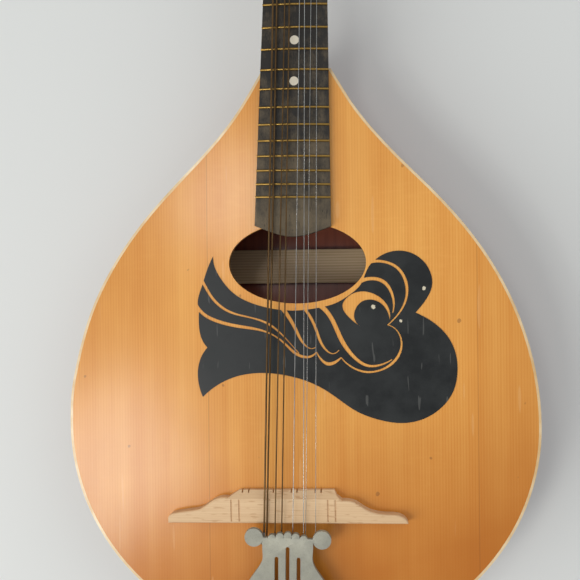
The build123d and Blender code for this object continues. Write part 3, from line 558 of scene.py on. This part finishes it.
class PAINT_OT_neck(bpy.types.Operator):
    """Stained neck, worn black fretboard, brass frets, dots and bone nut"""
    bl_idname = "mandolin.paint_neck"
    bl_label = "Neck and Fretboard"

    def execute(self, context):
        wood, hardware = context.scene.mandolin_wood, context.scene.mandolin_hardware
        paint(straight_wood("stained_neck", wood.neck_pale, wood.neck_deep, "Y", 0.003,
                            coat=0.4, rough=0.42, lined=0.15), "neck")
        paint(straight_wood("black_veneer", VENEER_PALE, VENEER_DARK, "Y", 0.0012,
                            coat=0.5, rough=0.35), "head_veneer")
        paint(fretboard_wood(), "fretboard")
        paint(metal("fret_brass", hardware.fret, 0.3, 1400, spots=0.4), "frets")
        paint(smooth_plastic("dot_plastic", hardware.dots), "position_dots")
        paint(smooth_plastic("nut_bone", hardware.bone, 0.4, 0.1), "nut")
        return {"FINISHED"}


class PAINT_OT_fittings(bpy.types.Operator):
    """Beech bridge, cast tailpiece with its screws, and the strings' wire"""
    bl_idname = "mandolin.paint_fittings"
    bl_label = "Bridge, Tailpiece and Strings"

    def execute(self, context):
        wood, hardware = context.scene.mandolin_wood, context.scene.mandolin_hardware
        paint(straight_wood("bridge_beech", wood.beech_pale, wood.beech_deep, "X", 0.0012,
                            rough=0.6, fleck=0.75, lined=0.1), "bridge")
        paint(cast_metal(), "tailpiece")
        paint(metal("screw_steel", hardware.steel, 0.32), "tailpiece_screws", "machine_screws")
        paint(wire("bronze_wire", hardware.bronze, 0.0006, 0.34), "wound_strings")
        paint(wire("steel_wire", hardware.steel, 0.02, 0.24), "plain_strings")
        return {"FINISHED"}


EASED = {"tailpiece": (0.0005, "cast_metal"), "machine_plates": (0.0003, "plate_steel"),
         "head_veneer": (0.0004, "veneer")}   # node: width of its rounded edges, material slot
EDGE_ANGLE = math.radians(40)             # an edge sharper than this is rounded
SHADE_ANGLE = math.radians(24)            # an edge sharper than this stays crisp in the shading


class BUILD_OT_eased_edges(bpy.types.Operator):
    """Tailpiece, machine plates and head veneer with rounded edges, in place of the plain ones"""
    bl_idname = "mandolin.eased_edges"
    bl_label = "Eased Edges"

    def execute(self, context):
        for node, (width, slot) in EASED.items():
            self.ease(node, width, slot)
        return {"FINISHED"}

    def ease(self, node, width, slot):
        """A merged copy of the node, with every sharp edge rounded in two steps."""
        mesh = frame["nodes"][node].data.copy()
        mesh.name = f"{node}_eased"
        work = bmesh.new()
        work.from_mesh(mesh)
        bmesh.ops.remove_doubles(work, verts=work.verts, dist=1e-6)
        bmesh.ops.dissolve_limit(work, angle_limit=math.radians(1), verts=work.verts, edges=work.edges)
        sharp = [edge for edge in work.edges
                 if edge.is_manifold and edge.calc_face_angle(0) > EDGE_ANGLE]
        bmesh.ops.bevel(work, geom=sharp, offset=width, segments=2, profile=0.5, affect="EDGES",
                        clamp_overlap=True)
        work.to_mesh(mesh)
        work.free()
        mesh.polygons.foreach_set("use_smooth", np.ones(len(mesh.polygons), bool))
        mesh.set_sharp_from_angle(angle=SHADE_ANGLE)
        piece = bpy.data.objects.new(f"{node}_eased", mesh)
        bpy.context.scene.collection.objects.link(piece)
        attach(piece, "root")
        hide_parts(node)


class PAINT_OT_machines(bpy.types.Operator):
    """Nickelled plates and posts, brass gears and cream buttons"""
    bl_idname = "mandolin.paint_machines"
    bl_label = "Tuning Machines"

    def execute(self, context):
        hardware = context.scene.mandolin_hardware
        nickel = metal("nickel_plate", hardware.nickel, 0.24, 700)
        turned = metal("turned_nickel", hardware.nickel, 0.2, 1200, (0.2, 1, 1))
        brass = metal("gear_brass", hardware.brass, 0.3, 900, spots=0.4)
        cream = smooth_plastic("button_cream", hardware.button, 0.26, 0.5)
        paint(nickel, "machine_plates", "post_bushings")
        for name in machine_names():
            paint(turned, f"post_{name}", f"worm_shaft_{name}")
            paint(brass, f"gear_{name}")
            paint(cream, f"button_{name}")
        return {"FINISHED"}


WOUND_TURNS, PLAIN_TURNS = 3, 7           # turns of a string on its post
POST_R = 3.0                              # millimetres, as are the next five
FIRST_ENTRY, ENTRY_STEP = 4.0, 1.4        # height of the string above the head, for each row
TAIL_HEIGHT = 10.0                        # the post's hole above the head
TAIL_REACH = 4.6                          # from the post's middle to the string's cut end
TAIL_R = 0.4                              # the thickest wire that passes the hole
BEND_FROM = 0.72                          # share of the reach where the end starts to bend
BEND = 22                                 # millimetres of fall, times the square of the share past it
STEPS_A_TURN = 28
TAIL_STEPS = 19


class BUILD_OT_string_turns(bpy.types.Operator):
    """Turns of each string round its post, and its cut end in the post's hole"""
    bl_idname = "mandolin.string_turns"
    bl_label = "String Turns"

    def execute(self, context):
        hardware = context.scene.mandolin_hardware
        bronze = metal("coiled_bronze", hardware.bronze, 0.34, 1600)
        steel = metal("coiled_steel", hardware.steel, 0.24, 1600)
        for side in SIDES:
            for row in range(MACHINES):
                number = row if side == "bass" else len(STRING_R) - 1 - row
                hand = -1 if side == "bass" else 1
                kind = ((WOUND_TURNS, bronze, "wound_wire") if number < WOUND
                        else (PLAIN_TURNS, steel, "plain_wire"))
                self.coil(f"{side}_{row + 1}", row, hand, STRING_R[number], *kind)
        return {"FINISHED"}

    def coil(self, name, row, hand, radius, turns, material, slot):
        """A helix down the post from where the string arrives, and the wire through its hole.

        Point t of the helix is the post's middle plus (post + wire) radius times (cos t, sin t),
        one wire thickness lower at each turn. The wire through the hole is a line that stands out
        at both sides and bends down there with the square of its length past BEND_FROM."""
        middle, axis, across, along = axes_at(f"wind_{name}")
        t = np.linspace(0, 2 * math.pi * turns, STEPS_A_TURN * turns)[:, None]
        reach = (POST_R + radius) * MM
        height = (FIRST_ENTRY + ENTRY_STEP * row - t / (2 * math.pi) * 2 * radius) * MM
        towards = np.cos(t) * -hand * across - np.sin(t) * along
        helix = middle + reach * towards + height * axis
        closed_tube(f"string_turns_{name}", wire_rings(helix, radius * MM), material,
                    f"post_{name}")
        out = np.linspace(-1, 1, TAIL_STEPS)[:, None]
        bend = np.clip(np.abs(out) - BEND_FROM, 0, 1) ** 2 * BEND
        tail = middle + (out * TAIL_REACH * hand * across + (TAIL_HEIGHT - bend) * axis) * MM
        closed_tube(f"string_end_{name}", wire_rings(tail, min(radius, TAIL_R) * MM), material,
                    f"post_{name}")


# Hooks, nut slots and strings are in millimetres, for a neck that isn't turned yet.
NECK_TURN = math.radians(-1.18)
HOOKS = ((-12.7, -59.4, 71.2), (-11.5, -63.2, 69.3), (-7.0, -59.4, 71.2), (-3.5, -63.2, 71.2),
         (2.3, -59.4, 71.2), (7.9, -59.4, 71.2), (8.8, -63.2, 69.3), (14.2, -58.8, 71.2))
NUT_X = (-10.5, -8.2, -4.1, -2.2, 2.9, 4.1, 8.5, 10.4)
NUT_Y, STRING_Z_NUT = 348.5, 68.75
NECK_X, NECK_JOINT_Y = -0.55, 188.0
LOOP_R, LOOP_LENGTH = 1.0, 1.4            # a loop's radius, and its length in front of the hook
CORE_R = 0.15                             # the thickest wire that a loop is twisted from
TWIST_TURNS = 6
STEPS_A_TWIST = 16


def in_neck(points):
    """Millimetre points of the straight neck, turned a little about its joint and made metres."""
    turn = np.array(((math.cos(NECK_TURN), math.sin(NECK_TURN), 0),
                     (-math.sin(NECK_TURN), math.cos(NECK_TURN), 0), (0, 0, 1)))
    joint = np.array((0, NECK_JOINT_Y, 0))
    return ((points - joint) @ turn + joint + np.array((NECK_X, 0, 0))) * MM


class BUILD_OT_loop_twists(bpy.types.Operator):
    """The loop end of each string, wrapped back round the string in front of its hook"""
    bl_idname = "mandolin.loop_twists"
    bl_label = "Loop Twists"

    def execute(self, context):
        steel = metal("twisted_steel", context.scene.mandolin_hardware.steel, 0.28, 1600)
        for number, (hook, nut_x, radius) in enumerate(zip(HOOKS, NUT_X, STRING_R), start=1):
            self.twist(number, np.array(hook), np.array((nut_x, NUT_Y, STRING_Z_NUT)), radius, steel)
        return {"FINISHED"}

    def twist(self, number, hook, nut, radius, material):
        """A helix of thin wire round the string, each turn just over its own thickness further on."""
        core = min(radius, CORE_R)
        run = (nut - hook) / np.linalg.norm(nut - hook)
        across = np.cross(run, (0, 0, 1))
        across /= np.linalg.norm(across)
        over = np.cross(across, run)
        t = np.linspace(0, 2 * math.pi * TWIST_TURNS, STEPS_A_TWIST * TWIST_TURNS)[:, None]
        reach = radius + core * 0.9
        start = LOOP_R + radius + LOOP_LENGTH
        path = hook + run * (start + t / (2 * math.pi) * 2.2 * core)
        path = path + reach * (np.cos(t) * across + np.sin(t) * over)
        closed_tube(f"loop_twist_{number}", wire_rings(in_neck(path), core * MM), material,
                    "root")


FLOOR_HALF, FLOOR_Z = 3.0, -0.0002
DAYLIGHT, SKYLIGHT = (1.0, 0.99, 0.97), (0.93, 0.95, 1.0)
SKY_STRENGTH = 0.42
# Each light's place, the point it faces, its width and height, and its tint.
LIGHTS = {"window_light": ((-1.0, -0.42, 0.95), (0.0, 0.02, 0.03), (0.8, 0.9), (1.0, 0.985, 0.96)),
          "side_light": ((-0.41, -0.23, 0.95), (-0.08, -0.02, 0.05), (0.24, 0.26), DAYLIGHT),
          "upper_light": ((-0.19, 0.23, 0.95), (-0.04, 0.12, 0.05), (0.16, 0.14), DAYLIGHT),
          "fill_light": ((0.75, 0.85, 1.0), (0.0, 0.1, 0.03), (1.2, 1.2), (0.96, 0.98, 1.0))}
CAMERA_YAW = math.radians(5.369)
CAMERA_ROLL = math.radians(0.57)
CAMERA_PLACE = (0.033676, 0.071403, 0.466045)
SENSOR = 36                               # millimetres


class BUILD_OT_stage(bpy.types.Operator):
    """Pale floor, soft lights at the left and the head, and the camera over the sound hole"""
    bl_idname = "mandolin.stage"
    bl_label = "Floor, Light and Camera"

    def execute(self, context):
        look = context.scene.mandolin_stage
        self.floor(look)
        powers = (look.key_power, look.side_power, look.upper_power, look.fill_power)
        for (name, settings), power in zip(LIGHTS.items(), powers):
            self.light(name, power, *settings)
        world = bpy.data.worlds.new("studio")
        world.use_nodes = True
        sky = world.node_tree.nodes["Background"].inputs
        sky["Color"].default_value = (*SKYLIGHT, 1)
        sky["Strength"].default_value = SKY_STRENGTH
        context.scene.world = world
        context.scene.view_settings.view_transform = "Standard"
        self.camera(look)
        return {"FINISHED"}

    def floor(self, look):
        """A wide square at the height of the back."""
        made = Finish("pale_floor", Roughness=0.85)
        cloud = made.noise(made.moved(), 2.5, 2)
        clouded = made.between(cloud, 0.3, 0.7, 0.0, 0.12)
        made.set("Base Color", made.mix(clouded, look.floor, FLOOR_CLOUD))
        mesh = bpy.data.meshes.new("floor")
        signs = ((-1, -1), (1, -1), (1, 1), (-1, 1))
        corners = [(x * FLOOR_HALF, y * FLOOR_HALF, FLOOR_Z) for x, y in signs]
        mesh.from_pydata(corners, [], [(0, 1, 2, 3)])
        mesh.materials.append(made.material)
        floor = bpy.data.objects.new("floor", mesh)
        bpy.context.scene.collection.objects.link(floor)

    def light(self, name, power, place, target, size, tint):
        """A soft rectangle of light that faces a point."""
        data = bpy.data.lights.new(name, "AREA")
        data.shape = "RECTANGLE"
        data.size, data.size_y = size
        data.energy = power
        data.color = tint
        lamp = bpy.data.objects.new(name, data)
        lamp.location = place
        lamp.rotation_euler = (Vector(target) - Vector(place)).to_track_quat("-Z", "Y").to_euler()
        bpy.context.scene.collection.objects.link(lamp)

    def camera(self, look):
        """Above the sound hole, a little to the right, looking down and slightly rolled."""
        data = bpy.data.cameras.new("camera")
        data.lens = look.lens
        data.sensor_width = SENSOR
        back = Vector((math.sin(CAMERA_YAW), 0, math.cos(CAMERA_YAW)))
        right = Vector((math.cos(CAMERA_YAW), 0, -math.sin(CAMERA_YAW)))
        up = Vector((0, 1, 0))
        image_right = math.cos(CAMERA_ROLL) * right - math.sin(CAMERA_ROLL) * up
        image_up = math.sin(CAMERA_ROLL) * right + math.cos(CAMERA_ROLL) * up
        camera = bpy.data.objects.new("camera", data)
        camera.matrix_world = Matrix((image_right, image_up, back)).transposed().to_4x4()
        camera.location = CAMERA_PLACE
        bpy.context.scene.collection.objects.link(camera)
        bpy.context.scene.camera = camera


class MANDOLIN_PT_panel(bpy.types.Panel):
    """Buttons and settings of the mandolin"""
    bl_idname = "MANDOLIN_PT_panel"
    bl_label = "Mandolin"
    bl_space_type = "VIEW_3D"
    bl_region_type = "UI"
    bl_category = "Mandolin"

    def draw(self, context):
        for step in STEPS:
            self.layout.operator(step.bl_idname)
        for group in GROUPS:
            settings = getattr(context.scene, group)
            for name in settings.bl_rna.properties.keys():
                if name not in ("rna_type", "name"):
                    self.layout.prop(settings, name)


GROUPS = {"mandolin_wood": WoodLook, "mandolin_hardware": HardwareLook, "mandolin_stage": StageLook}
STEPS = (BUILD_OT_stage, PAINT_OT_body, PAINT_OT_neck, PAINT_OT_fittings, PAINT_OT_machines,
         BUILD_OT_eased_edges, BUILD_OT_string_turns, BUILD_OT_loop_twists)


def register():
    """Make the settings, buttons and panel known."""
    for made in (*GROUPS.values(), *STEPS, MANDOLIN_PT_panel):
        bpy.utils.register_class(made)
    for name, group in GROUPS.items():
        setattr(bpy.types.Scene, name, bpy.props.PointerProperty(type=group))


def unregister():
    """Take them away again."""
    for name in GROUPS:
        delattr(bpy.types.Scene, name)
    for made in reversed((*GROUPS.values(), *STEPS, MANDOLIN_PT_panel)):
        bpy.utils.unregister_class(made)


def main():
    """Run every step in order."""
    register()
    for thing in list(bpy.data.objects):
        if thing.type in ("LIGHT", "CAMERA") or thing.name == "Cube":
            bpy.data.objects.remove(thing)
    for step in STEPS:
        group, name = step.bl_idname.split(".")
        getattr(getattr(bpy.ops, group), name)()


if __name__ == "__main__":
    main()
